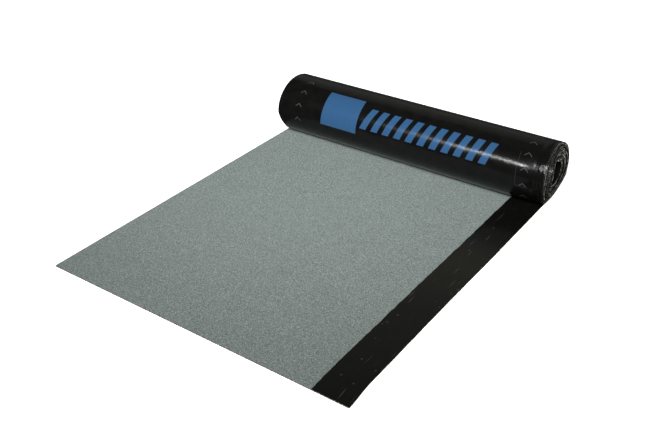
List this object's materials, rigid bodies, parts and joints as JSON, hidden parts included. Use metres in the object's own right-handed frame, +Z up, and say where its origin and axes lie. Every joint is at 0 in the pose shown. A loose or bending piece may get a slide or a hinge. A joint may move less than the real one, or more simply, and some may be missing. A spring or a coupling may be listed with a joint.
{
  "type": "roll of roofing felt",
  "caption": "Mineral-surfaced bitumen roofing felt, wound round an open bore, with its outer end rolled out flat on the floor and a bare lap strip along one edge.",
  "frame": {"origin": "on the floor, under the middle of the whole part's box", "axes": "+X runs along the roll towards the bare lap strip, -Y is the way the sheet rolls out, +Z is up"},
  "size_m": [1, 1.249, 0.2],
  "materials": {
    "bitumen_sheet": "black polymer bitumen, satin",
    "glossy_film": "thin black burn-off film on the underside, glossy and lightly wrinkled",
    "slate_granules": "crushed grey-green slate pressed into the bitumen, matte",
    "bare_bitumen": "bare lap strip, near-black and almost matte"
  },
  "bodies": {
    "root": {"felt_roll": "bitumen_sheet"}
  },
  "joints": []
}
